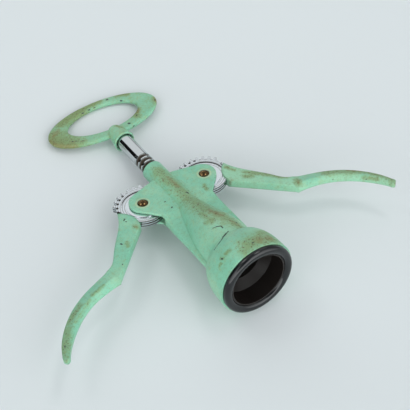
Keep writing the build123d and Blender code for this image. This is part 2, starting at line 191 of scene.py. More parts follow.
class Finish(Nodes):
    """One material while it is made, with its shader and the places on its piece"""

    def __init__(self, name, base, roughness, metallic=0.0):
        self.material = bpy.data.materials.new(name)
        self.material.use_nodes = True
        super().__init__(self.material.node_tree)
        self.shader = self.tree.nodes["Principled BSDF"]
        self.shader.inputs["Base Color"].default_value = (*base, 1)
        self.shader.inputs["Roughness"].default_value = roughness
        self.shader.inputs["Metallic"].default_value = metallic
        self.place = self.node("ShaderNodeTexCoord").outputs["Object"]

    def mix(self, share, a, b):
        """Colour between two colours"""
        return self.node("ShaderNodeMix", {0: share, 6: a, 7: b}, data_type="RGBA").outputs[2]

    def blend(self, share, a, b):
        """Number between two numbers"""
        return self.node("ShaderNodeMix", {0: share, 2: a, 3: b}, data_type="FLOAT").outputs[0]

    def cover(self, body, layer, mask, share=1.0):
        """Colour of a body under a layer that covers this share of it where its mask is 1"""
        return self.mix(self.times(mask, share), body, layer)

    def noise(self, size, detail=3.0, roughness=0.55, stretch=(1, 1, 1)):
        """Noise from 0 to 1 whose features are about this size in metres"""
        scale = [part / size for part in stretch]
        place = self.vector("MULTIPLY", self.place, scale)
        inputs = {"Vector": place, "Scale": 1.0, "Detail": detail, "Roughness": roughness}
        return self.node("ShaderNodeTexNoise", inputs).outputs["Fac"]

    def distance(self, start, end):
        """Distance in metres from a straight stroke between two places in millimetres"""
        start, end = Vector(start) * MM, Vector(end) * MM
        run = end - start
        from_start = self.vector("SUBTRACT", self.place, start)
        along = self.measure("DOT_PRODUCT", from_start, run)
        along = self.calc("DIVIDE", along, run.length_squared, clamp=True)
        nearest = self.node("ShaderNodeVectorMath", {0: run, "Scale": along}, operation="SCALE")
        return self.measure("DISTANCE", from_start, nearest.outputs["Vector"])

    def stroke(self, start, end, half_width):
        """How far from a stroke, as a share of its half width"""
        return self.calc("DIVIDE", self.distance(start, end), half_width * MM)

    def nearest(self, marks):
        """How far from the nearest of these strokes, as a share of its half width"""
        near = self.stroke(*marks[0])
        for mark in marks[1:]:
            near = self.calc("MINIMUM", near, self.stroke(*mark))
        return near

    def patchy(self, near, pattern, fade, low, high):
        """Mask that thins out with distance, broken up by a pattern of noise"""
        return self.step(self.minus(pattern, self.times(near, fade)), low, high)

    def from_axis(self, centre):
        """Offset from an axis along Z: its three parts, its flat vector and its length"""
        parts = self.node("ShaderNodeSeparateXYZ", {0: self.vector("SUBTRACT", self.place, centre)}).outputs
        flat = self.node("ShaderNodeCombineXYZ", {0: parts[0], 1: parts[1]}).outputs[0]
        return parts, flat, self.measure("LENGTH", flat)

    def rounding(self, radius, samples):
        """Normal that rounds the corners, and how flat it leaves them: 1 away from corners"""
        rounded = self.node("ShaderNodeBevel", {"Radius": radius}, samples=samples).outputs["Normal"]
        true_normal = self.node("ShaderNodeNewGeometry").outputs["True Normal"]
        return rounded, self.measure("DOT_PRODUCT", rounded, true_normal)

    def openness(self, reach, samples):
        """1 in the open, less in a crease that is narrower than this reach"""
        settings = {"samples": samples, "only_local": True}
        return self.node("ShaderNodeAmbientOcclusion", {"Distance": reach}, **settings).outputs["AO"]

    def bump(self, height, unit, normal=None):
        """Normal of a surface whose height is given in this unit"""
        inputs = {"Height": height, "Distance": unit, "Strength": 1.0}
        if normal:
            inputs["Normal"] = normal
        return self.node("ShaderNodeBump", inputs).outputs["Normal"]

    def finish(self, **sockets):
        """Feed the shader's sockets and hand over the material"""
        for name, value in sockets.items():
            self.feed(self.shader.inputs[name.replace("_", " ").title()], value)
        return self.material


def clothe(node, material):
    """Give a CAD node one material"""
    slots = nodes[node].data.materials
    slots.clear()
    slots.append(material)


def rivet_axis(side):
    """Middle of the right rivet for side 1, of the left one for side -1"""
    return Vector((side * pivot.x, pivot.y, pivot.z))


# Marks on the painted castings. Each is a stroke: start, end and half width, all in millimetres.

frame_marks = {
    "grease": [
        ((-0.5, 96, 6.4), (1.5, 73, 6.3), 4.2),
        ((0.5, 70, 7.0), (1.0, 49, 11.1), 5.2),
        ((2.5, 44, 12.8), (5.5, 32, 13.4), 4.6),
        ((-2.5, 47.5, 11.4), (-2.5, 37.0, 13.4), 2.0),
        ((4.7, 29, 14.2), (7.2, 25, 13.5), 2.2),
        ((0.0, 6.0, 21.3), (13.0, 6.0, 17.6), 5.6),
        ((-5.0, 4.4, 21.0), (1.0, 5.0, 21.4), 3.0),
        ((9.0, 10.5, 19.0), (13.0, 12.0, 15.6), 3.0),
        ((15.0, 73, 3.8), (14.2, 69, 3.8), 1.1),
        ((-4.5, 39.1, 12.8), (-1.2, 38.3, 13.7), 1.8),
        ((-14.6, 11.2, 15.4), (-13.6, 10.0, 16.1), 0.8),
        ((-11.4, 10.6, 17.6), (-9.6, 10.4, 18.7), 1.2),
        ((-16.5, 9.3, 13.4), (-15.9, 9.3, 14.2), 0.9),
    ],
    "rust": [
        ((0.4, 88, 6.4), (1.4, 78, 6.3), 1.2),
        ((2.0, 46, 12.2), (3.8, 39, 13.2), 1.6),
        ((5.0, 6.0, 20.6), (12.0, 6.5, 18.2), 2.6),
        ((5.2, 31.5, 13.5), (6.8, 27.5, 13.2), 1.0),
    ],
    "cracks": [
        ((-5.0, 32.7, 13.6), (-3.1, 31.9, 14.3), 0.34),
        ((-3.1, 31.9, 14.3), (-1.3, 30.6, 14.7), 0.44),
        ((-1.3, 30.6, 14.7), (-1.4, 28.9, 14.8), 0.44),
        ((-0.7, 24.9, 15.1), (-2.4, 24.4, 14.9), 0.40),
        ((-2.4, 24.4, 14.9), (-4.7, 23.7, 14.4), 0.62),
        ((-4.7, 23.7, 14.4), (-6.7, 21.4, 16.2), 0.75),
        ((-6.7, 21.4, 16.2), (-7.6, 20.8, 16.3), 0.55),
        ((-7.6, 20.8, 16.3), (-9.6, 20.1, 15.7), 0.50),
        ((-9.6, 20.1, 15.7), (-12.8, 19.6, 13.6), 0.38),
        ((-6.0, 38.0, 12.0), (-3.4, 36.6, 13.0), 0.32),
    ],
    "chips": [
        ((3.0, 71.5, 5.8), (3.3, 70.9, 5.6), 0.75),
        ((-9.0, 68.3, 3.8), (-9.3, 68.0, 3.8), 0.6),
        ((-10.2, 74.5, 3.8), (-9.6, 74.3, 3.8), 0.45),
        ((7.2, 29.3, 12.9), (7.5, 29.0, 12.8), 0.6),
        ((-14.3, 10.7, 15.6), (-14.0, 10.2, 15.8), 0.55),
        ((1.0, 6.0, 21.3), (1.4, 5.8, 21.3), 0.5),
    ],
}
ring_marks = {
    "grease": [
        ((-38.0, 167.0, 1.0), (-31.0, 155.0, 1.0), 11.0),
        ((-24.0, 177.5, 1.6), (-8.0, 181.0, 1.6), 5.0),
        ((-12.0, 181.0, 1.6), (6.0, 183.0, 1.6), 2.4),
        ((18.5, 181.0, 1.6), (24.0, 178.5, 1.6), 2.0),
        ((20.5, 160.0, 1.6), (17.5, 155.0, 1.6), 2.6),
        ((36.5, 163.5, 0.5), (35.5, 160.5, 1.2), 2.6),
        ((1.7, 149.0, 4.7), (5.2, 143.0, 2.4), 1.8),
    ],
    "rust": [
        ((-37.0, 165.5, 1.0), (-34.9, 159.2, 0.8), 1.5),
        ((-34.9, 159.2, 0.8), (-31.2, 155.6, 0.4), 1.9),
        ((-31.2, 155.6, 0.4), (-26.7, 152.8, 0.2), 1.5),
        ((-26.8, 156.8, 1.6), (-25.6, 156.0, 1.6), 1.1),
        ((-33.5, 168.5, 1.6), (-28.0, 172.0, 1.6), 1.2),
        ((-22.0, 153.6, 1.6), (-19.6, 152.4, 1.6), 0.7),
        ((21.8, 160.0, 1.4), (20.0, 157.0, 1.5), 0.9),
        ((36.2, 162.8, 1.0), (35.4, 160.8, 1.3), 1.0),
    ],
    "chips": [
        ((35.6, 162.0, 1.6), (35.0, 161.0, 1.6), 0.55),
        ((10.5, 181.0, 1.6), (11.2, 181.0, 1.6), 0.7),
        ((17.6, 175.2, 1.0), (18.2, 174.8, 1.0), 0.55),
        ((10.0, 150.9, 1.6), (10.4, 150.5, 1.6), 0.8),
        ((18.2, 155.1, 1.6), (17.8, 154.8, 1.6), 0.5),
        ((-8.2, 178.7, 1.1), (-7.4, 178.5, 1.1), 0.55),
        ((-3.6, 179.2, 1.1), (-2.6, 179.3, 1.1), 0.5),
        ((0.4, 179.3, 1.0), (1.2, 179.2, 1.0), 0.45),
        ((11.2, 148.2, 0.2), (12.0, 148.4, 0.4), 0.6),
        ((-26.2, 156.6, 1.6), (-25.9, 156.4, 1.6), 0.5),
        ((-24.4, 155.6, 1.6), (-24.0, 155.3, 1.6), 0.45),
        ((-21.2, 153.3, 1.6), (-20.4, 152.9, 1.6), 0.35),
    ],
}
right_arm_marks = {
    "grease": [
        ((33.8, 79.0, 2.6), (36.0, 74.0, 2.6), 1.1),
        ((41.5, 64.0, 2.6), (38.0, 66.0, 2.6), 1.7),
        ((40.0, 69.0, 2.6), (56.0, 51.5, 2.6), 1.5),
        ((59.4, 45.4, 2.6), (58.2, 43.0, 2.6), 1.9),
        ((76.0, 41.5, 1.6), (94.5, 29.5, 1.6), 3.2),
        ((94.5, 29.5, 1.6), (101.5, 17.0, 1.5), 2.8),
        ((90.5, 25.6, 1.8), (95.5, 20.0, 1.7), 1.5),
        ((101.0, 14.5, 1.0), (102.0, 12.0, 0.5), 2.2),
    ],
    "rust": [
        ((29.2, 68.4, 0.6), (30.0, 68.0, 2.4), 0.9),
        ((59.2, 45.0, 2.7), (58.6, 43.6, 2.7), 0.7),
        ((87.0, 35.6, 1.9), (93.0, 30.6, 1.8), 0.7),
    ],
    "chips": [
        ((77.0, 35.6, 0.9), (76.6, 35.4, 0.6), 0.45),
        ((91.5, 24.3, 0.9), (91.1, 24.1, 0.7), 0.4),
    ],
}
left_arm_marks = {
    "grease": [
        ((-32.4, 69.0, 2.6), (-31.6, 67.6, 2.6), 1.4),
        ((-41.8, 60.8, 2.6), (-42.6, 58.4, 2.6), 1.2),
        ((-66.0, 41.6, 2.8), (-74.0, 39.2, 2.8), 0.9),
        ((-82.0, 37.0, 2.2), (-92.0, 30.6, 1.7), 1.8),
        ((-94.0, 28.0, 1.8), (-100.5, 17.0, 1.8), 2.9),
        ((-101.0, 14.5, 1.0), (-102.0, 12.0, 0.5), 1.9),
        ((-76.0, 37.2, 2.8), (-88.0, 29.0, 2.8), 1.0),
    ],
    "rust": [
        ((-32.2, 68.7, 2.6), (-31.7, 67.9, 2.6), 0.5),
    ],
    "chips": [
        ((-34.2, 77.0, 2.6), (-34.8, 76.4, 2.6), 0.55),
        ((-34.4, 75.0, 2.6), (-34.2, 74.6, 2.6), 0.4),
        ((-44.8, 61.8, 2.6), (-44.5, 61.2, 2.6), 0.6),
        ((-51.2, 48.7, 2.6), (-51.4, 48.3, 2.6), 0.35),
        ((-98.8, 19.5, 1.9), (-99.0, 19.1, 1.9), 0.4),
        ((-100.4, 15.6, 1.6), (-100.6, 15.2, 1.5), 0.45),
    ],
}


class Casting(NamedTuple):
    """How one casting is painted and worn: its shares multiply the paint's own settings"""

    paint: str
    edge: str
    marks: dict
    film: float = 1.0
    haze: float = 1.0
    stain: float = 1.0
    bleach: float = 0.0
    riveted: bool = False


castings = {
    "frame": Casting("frame_paint", "frame_edge", frame_marks, bleach=0.01, riveted=True),
    "ring_handle": Casting("ring_paint", "lever_edge", ring_marks, film=3.4, haze=1.7, stain=1.3),
    "right_lever_arm": Casting("right_arm_paint", "lever_edge", right_arm_marks, stain=1.2, bleach=0.10),
    "left_lever_arm": Casting(
        "left_arm_paint", "lever_edge", left_arm_marks, film=0.8, stain=0.75, bleach=-0.02
    ),
}

# A pair named from_to says where a pattern starts to show and where it shows fully, and a pair named
# cover gives the share that a pattern covers at these two ends.

# Sizes of the patterns in the paint
cloud_size = 24 * MM
mottle_size = 5 * MM
blotch_size = 3 * MM
swell_size = 2.6 * MM
fleck_size = 1.5 * MM
speck_size = 0.9 * MM
grain_size = 0.5 * MM
# The painted shade in creases reaches this far
crease_shade_reach = 2.2 * MM
halo_radius = 3.7 * MM
halo_width = 0.8 * MM

# Noise, from 0 to 1, that shows each kind of wear
faded_from_to = (0.45, 0.63)
film_from_to = (0.42, 0.62)
yellow_blotch_from_to = (0.46, 0.72)
pale_blotch_from_to = (0.48, 0.30)
freckle_from_to = (0.56, 0.74)
speck_from_to = (0.55, 0.63)
rubbed_from_to = (0.44, 0.58)
grease_from_to = (0.18, 0.54)
rust_from_to = (0.08, 0.60)

# How fast a mark thins out away from its stroke, and its outline, in half widths of the stroke
grease_fade = 0.20
rust_fade = 0.22
haze_from_to = (1.9, 0.1)
chip_from_to = (1.0, 0.6)
crack_from_to = (1.0, 0.4)
chip_ragged = 2.4
crack_ragged = 1.4

# Flatness that counts as a worn corner, and openness below which a crease gets painted shade
corner_from_to = (0.985, 0.90)
crease_shade_from_to = (0.75, 0.30)

# Share of the paint that each kind of wear, and the painted shade in creases, covers where it is strongest
film_cover = (0.45, 1.35)
yellow_blotch_cover = 0.24
pale_blotch_cover = 0.25
freckle_cover = 0.16
halo_cover = 0.8
corner_cover = 0.25
rust_cover = 0.50
# Painted shade in creases
crease_shade_cover = 0.35
clean_speck_cover = 0.20

# Roughness of the wear, and heights of the paint's surface in millimetres
grease_roughness = 0.55
chip_roughness = 0.7
roughness_spread = 0.25
swell_height = 0.06
fleck_height = 0.03
grain_height = 0.006
chip_depth = 0.10


def rivet_halo(made, side):
    """Mask of the narrow ring of rubbed paint round one rivet's head"""
    _, _, reach = made.from_axis(rivet_axis(side))
    return made.step(made.calc("ABSOLUTE", made.minus(reach, halo_radius)), halo_width, 0)


def unmarked_paint(made, settings, casting, mottled, grain):
    """Colour of the paint between its marks: bleached clouds, a patchy film and fine freckles"""
    wide = made.noise(cloud_size, detail=2)
    blotches = made.noise(blotch_size, detail=3, roughness=0.65)
    clouds = made.blend(0.5, wide, mottled)
    limits = [limit - casting.bleach for limit in faded_from_to]
    body = made.mix(made.step(clouds, *limits), settings.mint, settings.faded)
    patches = made.step(mottled, *film_from_to, *film_cover)
    body = made.cover(body, settings.tan, patches, settings.film * casting.film)
    body = made.cover(body, settings.tan, made.step(blotches, *yellow_blotch_from_to), yellow_blotch_cover)
    body = made.cover(body, settings.faded, made.step(blotches, *pale_blotch_from_to), pale_blotch_cover)
    return made.cover(body, settings.olive, made.step(grain, *freckle_from_to), freckle_cover)


def chip_mask(made, marks, wobble):
    """Mask of the chips and cracks, with ragged edges"""
    off_chip = made.plus(made.nearest(marks["chips"]), made.times(wobble, chip_ragged))
    chipped = made.step(off_chip, *chip_from_to)
    if "cracks" in marks:
        off_crack = made.plus(made.nearest(marks["cracks"]), made.times(wobble, crack_ragged))
        chipped = made.larger(chipped, made.step(off_crack, *crack_from_to))
    return chipped


def worn_paint(settings, casting):
    """Satin paint over a casting: bleached areas, grease film, stains, chips, cracks, fine specks and olive
    painted shade in its creases
    """
    made = Finish(casting.paint, settings.mint, settings.roughness)
    medium = made.noise(mottle_size, detail=4, roughness=0.6)
    fine = made.noise(fleck_size, detail=4, roughness=0.7)
    grain = made.noise(grain_size, detail=2, roughness=0.6)
    mottled = made.blend(0.6, medium, fine)
    wobble = made.minus(fine, 0.5)

    body = unmarked_paint(made, settings, casting, mottled, grain)
    if casting.riveted:
        halo = made.larger(rivet_halo(made, 1), rivet_halo(made, -1))
        body = made.cover(body, settings.rubbed, halo, halo_cover)

    near_grease = made.nearest(casting.marks["grease"])
    hazed = made.step(near_grease, *haze_from_to)
    greased = made.patchy(near_grease, mottled, grease_fade, *grease_from_to)
    near_rust = made.nearest(casting.marks["rust"])
    rusted = made.patchy(near_rust, mottled, rust_fade, *rust_from_to)
    chipped = chip_mask(made, casting.marks, wobble)
    specks = made.step(made.noise(speck_size, detail=3, roughness=0.7), *speck_from_to)
    speck_cover = made.blend(greased, clean_speck_cover, 1.0)
    rounded, flatness = made.rounding(getattr(settings, casting.edge), samples=8)
    worn_corner = made.times(made.step(flatness, *corner_from_to), made.step(mottled, *rubbed_from_to))
    # Painted shade: olive darkening in the creases, where the surface is hemmed in
    crease_shade = made.step(made.openness(crease_shade_reach, samples=6), *crease_shade_from_to)

    layers = (
        (settings.tan, hazed, settings.haze * casting.haze),
        (settings.olive, greased, settings.stain * casting.stain),
        (settings.olive, worn_corner, corner_cover),
        (settings.rust, rusted, rust_cover),
        # painted shade in the creases
        (settings.olive, crease_shade, crease_shade_cover),
        (settings.brown, specks, speck_cover),
        (settings.chip, chipped, 1.0),
    )
    for layer in layers:
        body = made.cover(body, *layer)

    roughness = made.blend(greased, settings.roughness, grease_roughness)
    roughness = made.plus(roughness, made.times(wobble, roughness_spread))
    roughness = made.blend(chipped, roughness, chip_roughness)
    height = made.times(made.noise(swell_size, detail=3), swell_height)
    height = made.plus(height, made.times(fine, fleck_height))
    height = made.plus(height, made.times(grain, grain_height))
    height = made.minus(height, made.times(chipped, chip_depth))
    return made.finish(base_color=body, roughness=roughness, normal=made.bump(height, 1 * MM, rounded))


class CORKSCREW_OT_paint_castings(bpy.types.Operator):
    """Paint the frame, the ring handle and both lever arms in worn mint"""

    bl_idname = "corkscrew.paint_castings"
    bl_label = "Paint Castings"

    def execute(self, context):
        settings = context.scene.corkscrew_paint
        for node, casting in castings.items():
            clothe(node, worn_paint(settings, casting))
        return {"FINISHED"}


# Black plastic. The heights of its surface are in millimetres.

plastic_rub_size = 7 * MM
plastic_hair_size = 0.5 * MM
plastic_dust_size = 0.9 * MM
plastic_edge = 0.4 * MM
plastic_rub_from_to = (0.45, 0.7)
plastic_hair_from_to = (0.62, 0.72)
plastic_dust_from_to = (0.60, 0.74)
# Pale edges: dust there, and a painted highlight
plastic_edge_dust_and_sheen_from_to = (0.99, 0.90)
plastic_dust_cover = 0.35
plastic_edge_dust_and_sheen_cover = 0.7
plastic_polish = 0.05
plastic_rub_roughness = 0.12
plastic_hair_roughness = 0.08
plastic_rub_height = 0.05
plastic_hair_height = 0.004


def gloss_plastic(name, settings, base, roughness, shine):
    """Moulded black plastic with rubbed patches, hair scratches, a little dust and pale edges of dust and
    painted highlight
    """
    made = Finish(name, base, roughness)
    rubbed = made.noise(plastic_rub_size, detail=3)
    hairs = made.noise(plastic_hair_size, detail=2, stretch=(1, 0.08, 1))
    dust = made.noise(plastic_dust_size, detail=5, roughness=0.75)
    dusty = made.times(made.step(dust, *plastic_dust_from_to), made.step(rubbed, *plastic_rub_from_to))
    body = made.cover(base, settings.dust, dusty, plastic_dust_cover)
    # Pale edges: dust and a painted highlight along every sharp edge
    _, flatness = made.rounding(plastic_edge, samples=6)
    edge_dust_and_sheen = made.step(flatness, *plastic_edge_dust_and_sheen_from_to)
    body = made.cover(body, settings.dust, edge_dust_and_sheen, plastic_edge_dust_and_sheen_cover)
    scratched = made.step(hairs, *plastic_hair_from_to)
    rough = made.plus(roughness - plastic_polish, made.times(rubbed, plastic_rub_roughness))
    rough = made.plus(rough, made.times(scratched, plastic_hair_roughness))
    height = made.plus(made.times(hairs, plastic_hair_height), made.times(rubbed, plastic_rub_height))
    made.shader.inputs["Specular IOR Level"].default_value = shine
    return made.finish(base_color=body, roughness=rough, normal=made.bump(height, 1 * MM))


class CORKSCREW_OT_finish_plastics(bpy.types.Operator):
    """Give the bell's ring and guide cup their black plastic"""

    bl_idname = "corkscrew.finish_plastics"
    bl_label = "Finish Plastics"

    def execute(self, context):
        settings = context.scene.corkscrew_plastic
        ring = (settings.black, settings.ring_roughness, settings.ring_shine)
        clothe("bell_ring", gloss_plastic("ring_plastic", settings, *ring))
        cup = (settings.cup_black, settings.cup_roughness, settings.cup_shine)
        clothe("guide_cup", gloss_plastic("cup_plastic", settings, *cup))
        return {"FINISHED"}


# Toothed tube, spindle, worm and washer

metal_cloud_size = 6 * MM
metal_hair_size = 0.35 * MM
metal_hair_from_to = (0.60, 0.72)
metal_polish = 0.02
metal_cloud_roughness = 0.05
metal_hair_roughness = 0.05
groove_clot_size = 1.3 * MM
groove_ragged = 1.6 * MM
groove_depth_from_to = (0.15 * MM, 0.75 * MM)
tube_grease_from_to = (119 * MM, 117.5 * MM)
tube_film_from_to = (0.52, 0.66)
tube_film_cover = 0.45
tube_grease_roughness = 0.45
tube_grease_metal = 0.25
tube_hair_height = 0.01 * MM
tarnish_size = 2.2 * MM
tarnish_from_to = (0.56, 0.70)
tarnish_cover = 0.5
turned_hair_height = 0.02 * MM


def polished(name, base, roughness):
    """Polished metal with soft clouds and hair scratches: the material, its roughness and the hairs"""
    made = Finish(name, base, roughness, metallic=1.0)
    cloud = made.noise(metal_cloud_size, detail=3)
    hairs = made.noise(metal_hair_size, detail=2, stretch=(1, 0.05, 1))
    scratched = made.step(hairs, *metal_hair_from_to)
    rough = made.plus(roughness - metal_polish, made.times(cloud, metal_cloud_roughness))
    rough = made.plus(rough, made.times(scratched, metal_hair_roughness))
    return made, rough, hairs


def rack_chrome(settings):
    """Chrome of the toothed tube, with old grease in its grooves"""
    made, rough, hairs = polished("rack_chrome", settings.chrome, settings.tube_roughness)
    parts = made.node("ShaderNodeSeparateXYZ", {0: made.place}).outputs
    across = made.node("ShaderNodeCombineXYZ", {0: parts[0], 2: parts[2]}).outputs[0]
    depth = made.minus(tube_radius, made.measure("LENGTH", across))
    clots = made.noise(groove_clot_size, detail=4, roughness=0.7)
    ragged = made.times(made.minus(clots, 0.5), groove_ragged)
    in_groove = made.step(made.plus(depth, ragged), *groove_depth_from_to)
    below = made.step(parts[1], *tube_grease_from_to)
    film = made.times(made.step(clots, *tube_film_from_to), tube_film_cover)
    greased = made.times(made.larger(in_groove, film), below)
    body = made.mix(greased, settings.chrome, settings.grime)
    rough = made.blend(greased, rough, tube_grease_roughness)
    metal = made.blend(greased, 1.0, tube_grease_metal)
    normal = made.bump(hairs, tube_hair_height)
    return made.finish(base_color=body, roughness=rough, metallic=metal, normal=normal)


def turned_metal(name, settings, base, roughness):
    """Turned or drawn metal with patches of tarnish"""
    made, rough, hairs = polished(name, base, roughness)
    clots = made.noise(tarnish_size, detail=4, roughness=0.7)
    body = made.cover(base, settings.grime, made.step(clots, *tarnish_from_to), tarnish_cover)
    return made.finish(base_color=body, roughness=rough, normal=made.bump(hairs, turned_hair_height))


class CORKSCREW_OT_plate_tube(bpy.types.Operator):
    """Plate the toothed tube and grease its grooves"""

    bl_idname = "corkscrew.plate_tube"
    bl_label = "Plate Toothed Tube"

    def execute(self, context):
        clothe("rack_tube", rack_chrome(context.scene.corkscrew_metal))
        return {"FINISHED"}


class CORKSCREW_OT_finish_screw(bpy.types.Operator):
    """Finish the spindle, the worm and the washer, which turn with the ring handle"""

    bl_idname = "corkscrew.finish_screw"
    bl_label = "Finish Screw"

    def execute(self, context):
        settings = context.scene.corkscrew_metal
        chrome = settings.chrome
        steel = settings.steel
        clothe("worm", turned_metal("worm_chrome", settings, chrome, settings.worm_roughness))
        clothe("spindle", turned_metal("spindle_steel", settings, steel, settings.spindle_roughness))
        clothe("socket_washer", turned_metal("washer_steel", settings, steel, settings.washer_roughness))
        return {"FINISHED"}


# Gear heads. Their valleys are the gaps between the teeth, painted black as shade, most on one side of each
# head, and their rings are the marks of turning, with heights in millimetres; on the wall the dark rings
# are painted shade.

teeth_around = 27
tooth_angle = 2 * math.pi / teeth_around
valley_radius = 14.4 * MM
# Painted shade in the gaps between the teeth: its outline, the side of each head that gets most, and its
# share
valley_shade_from_to = (0.95 * MM, 0.65 * MM)
shaded_side_directions = {1: (-0.42, 0.90, 0), -1: (-0.85, 0.52, 0)}
shaded_side_from_to = (0.6, 0.85)
valley_shade_cover = (0.10, 1.0)
facing_from_to = (0.4, 0.6)
turned_from_to = (9.3 * MM, 10.3 * MM)
# Dark rings: on the face grime in the turning marks, on the wall painted shade
wall_ring_pitch = 1.6 * MM
face_ring_pitch = 1.25 * MM
fine_ring_pitch = 0.42 * MM
ring_ragged = 1.2
wall_shade_from = 0.05
face_ring_from = 0.45
ring_softness = 0.25
wall_shade_cover = 1.0
face_ring_cover = 0.60
wall_shade_black = 0.7
gear_clot_size = 1.6 * MM
gear_speck_from_to = (0.64, 0.72)
gear_speck_cover = 0.5
# Painted shade in the gear head's creases
gear_crease_shade_reach = 1.6 * MM
gear_crease_shade_from_to = (0.62, 0.36)
gear_crease_shade_cover = 0.4
# Share of the grime colour that gives the black of the painted shade
shade_black_share = 0.25
gear_grease_roughness = 0.4
gear_grease_metal = 0.4
ring_height = 0.03
fine_ring_height = 0.004


def valley_shade(made, parts, flat, reach, side):
    """Mask of the painted shade in the gaps between the teeth, strongest on one side of the head"""
    angle = made.calc("ARCTAN2", parts[1], made.times(parts[0], side))
    off_valley = made.calc("PINGPONG", made.calc("DIVIDE", angle, tooth_angle), 0.5)
    aside = made.times(made.times(off_valley, tooth_angle), reach)
    outward = made.minus(reach, valley_radius)
    from_valley = made.node("ShaderNodeCombineXYZ", {0: aside, 1: outward}).outputs[0]
    gap_shade = made.step(made.measure("LENGTH", from_valley), *valley_shade_from_to)
    towards = made.measure("DOT_PRODUCT", made.vector("NORMALIZE", flat), shaded_side_directions[side])
    return made.times(gap_shade, made.step(towards, *shaded_side_from_to, *valley_shade_cover))


def gear_chrome(name, settings, side):
    """Plated gear head: grimy turned rings on its face, specks, and painted shade on its wall, in its
    creases and between the teeth
    """
    made = Finish(name, settings.plating, settings.gear_roughness, metallic=1.0)
    parts, flat, reach = made.from_axis(rivet_axis(side))
    normal = made.node("ShaderNodeNewGeometry").outputs["True Normal"]
    facing = made.node("ShaderNodeSeparateXYZ", {0: normal}).outputs[2]
    face = made.step(made.calc("ABSOLUTE", facing), *facing_from_to)
    turned = made.step(reach, *turned_from_to)

    across = made.blend(face, parts[2], reach)
    pitch = made.blend(face, wall_ring_pitch, face_ring_pitch)
    waves = made.calc("SINE", made.calc("DIVIDE", made.times(across, 2 * math.pi), pitch))
    fine_waves = made.calc("SINE", made.times(across, 2 * math.pi / fine_ring_pitch))
    clots = made.noise(gear_clot_size, detail=4, roughness=0.75)
    broken = made.plus(waves, made.times(made.minus(clots, 0.5), ring_ragged))
    threshold = made.blend(face, wall_shade_from, face_ring_from)
    line = made.step(made.minus(broken, threshold), 0, ring_softness)
    line = made.times(line, made.times(turned, made.blend(face, wall_shade_cover, face_ring_cover)))

    crease_shade = made.step(made.openness(gear_crease_shade_reach, samples=8), *gear_crease_shade_from_to)
    specks = made.times(made.step(clots, *gear_speck_from_to), gear_speck_cover)
    grime_and_shade = made.larger(made.larger(made.times(crease_shade, gear_crease_shade_cover), specks), line)
    body = made.mix(grime_and_shade, settings.plating, settings.grime)
    shaded_valleys = valley_shade(made, parts, flat, reach, side)
    # Painted shade: black rings on the wall and black gaps between the teeth
    wall_shade_line = made.times(line, made.minus(1.0, face))
    black = made.larger(made.times(wall_shade_line, wall_shade_black), shaded_valleys)
    body = made.mix(black, body, [part * shade_black_share for part in settings.grime])

    grime_and_shade = made.larger(grime_and_shade, shaded_valleys)
    rough = made.blend(grime_and_shade, settings.gear_roughness, gear_grease_roughness)
    metal = made.blend(grime_and_shade, 1.0, gear_grease_metal)
    height = made.plus(made.times(waves, ring_height), made.times(fine_waves, fine_ring_height))
    normal = made.bump(made.times(height, turned), 1 * MM)
    return made.finish(base_color=body, roughness=rough, metallic=metal, normal=normal)


class CORKSCREW_OT_plate_gear_heads(bpy.types.Operator):
    """Plate both gear heads and grease their teeth"""

    bl_idname = "corkscrew.plate_gear_heads"
    bl_label = "Plate Gear Heads"

    def execute(self, context):
        settings = context.scene.corkscrew_metal
        clothe("right_gear_head", gear_chrome("right_gear_chrome", settings, 1))
        clothe("left_gear_head", gear_chrome("left_gear_chrome", settings, -1))
        return {"FINISHED"}


# Rivets

rivet_clot_size = 0.8 * MM
rivet_ragged = 0.6 * MM
rivet_rim_from_to = (2.8 * MM, 3.3 * MM)
rivet_dimple_from_to = (1.2 * MM, 0.6 * MM)
rivet_dimple_cover = 0.9
rivet_clot_from_to = (0.40, 0.60)
rivet_tarnish_cover = (0.50, 0.90)
rivet_roughness = 0.07
rivet_rim_roughness = 0.3
rivet_clot_height = 0.015 * MM


def rivet_brass(name, settings, side):
    """Tarnished brass: dark round the edge and in the dimple, rubbed bright between"""
    made = Finish(name, settings.brass, rivet_roughness, metallic=1.0)
    _, _, reach = made.from_axis(rivet_axis(side))
    clots = made.noise(rivet_clot_size, detail=4, roughness=0.7)
    rim = made.step(made.plus(reach, made.times(clots, rivet_ragged)), *rivet_rim_from_to)
    dimple = made.times(made.step(reach, *rivet_dimple_from_to), rivet_dimple_cover)
    tarnished = made.step(clots, *rivet_clot_from_to, *rivet_tarnish_cover)
    dark = made.larger(made.larger(rim, dimple), tarnished)
    body = made.mix(dark, settings.brass, settings.tarnish)
    rough = made.blend(rim, rivet_roughness, rivet_rim_roughness)
    return made.finish(base_color=body, roughness=rough, normal=made.bump(clots, rivet_clot_height))


class CORKSCREW_OT_finish_rivets(bpy.types.Operator):
    """Give both rivets their tarnished brass"""

    bl_idname = "corkscrew.finish_rivets"
    bl_label = "Finish Rivets"

    def execute(self, context):
        settings = context.scene.corkscrew_metal
        clothe("right_rivet", rivet_brass("right_rivet_brass", settings, 1))
        clothe("left_rivet", rivet_brass("left_rivet_brass", settings, -1))
        return {"FINISHED"}


# Camera, from the photograph's viewing angle

camera_azimuth = math.radians(-29.515)
camera_elevation = math.radians(43.352)
camera_roll = math.radians(-5.328)
aim_point = Vector((11.52, 67.89, -6.07)) * MM
focal_pixels = 851.3
picture_pixels = 410
sensor_width = 36.0


